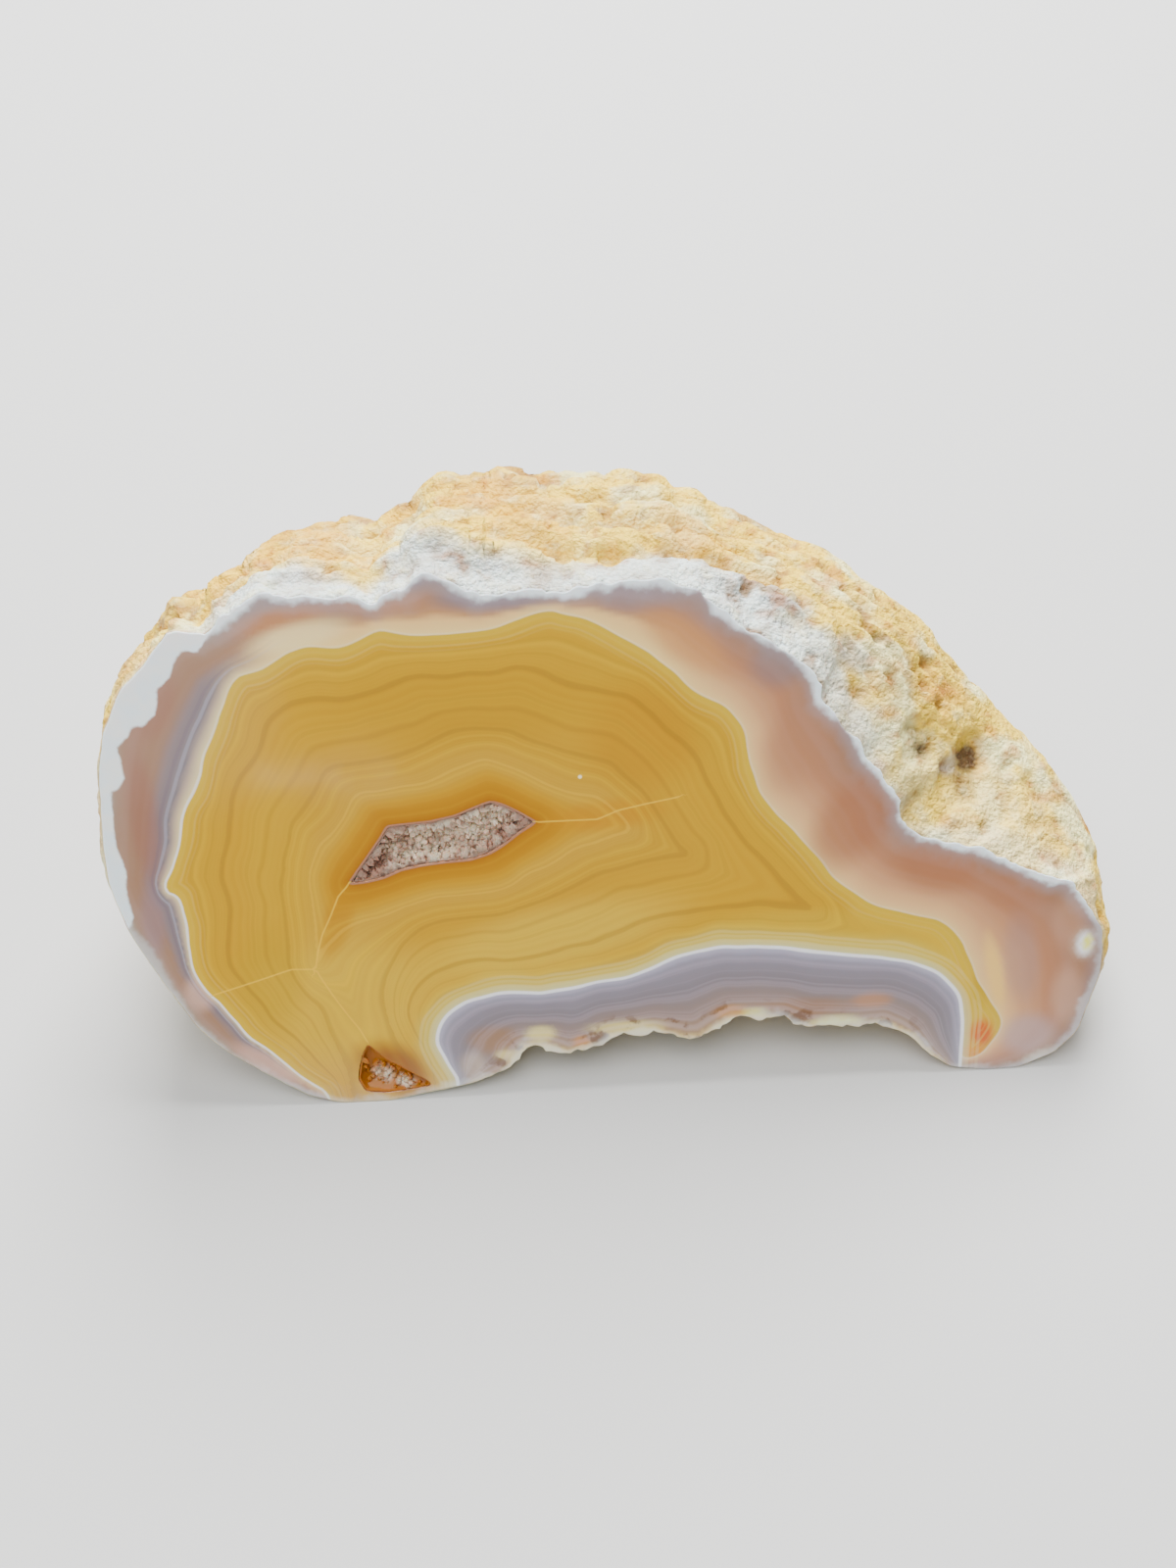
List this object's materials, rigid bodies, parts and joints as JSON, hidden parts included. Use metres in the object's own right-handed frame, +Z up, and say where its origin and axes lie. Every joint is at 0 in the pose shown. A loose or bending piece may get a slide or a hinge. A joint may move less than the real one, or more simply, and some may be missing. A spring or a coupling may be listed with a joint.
{
  "type": "polished agate",
  "caption": "Polished agate half with golden bands, a crystal-lined hollow and a rough pale crust, leaning back on a ground flat.",
  "frame": {"origin": "on the ground plane, at the centre of the stone's bounding box seen from above", "axes": "+Z up, +X to the viewer's right along the polished face, -Y out of the polished face towards the viewer"},
  "size_m": [0.0846, 0.0436, 0.0402],
  "materials": {
    "agate": "mirror-polished banded face, yellow and lavender, with a rough cream crust behind it",
    "quartz": "small glassy crystals, white to reddish brown"
  },
  "bodies": {
    "root": {"agate_nodule": "agate", "vug_crystals": "quartz", "edge_pocket_crystals": "quartz"}
  },
  "joints": []
}
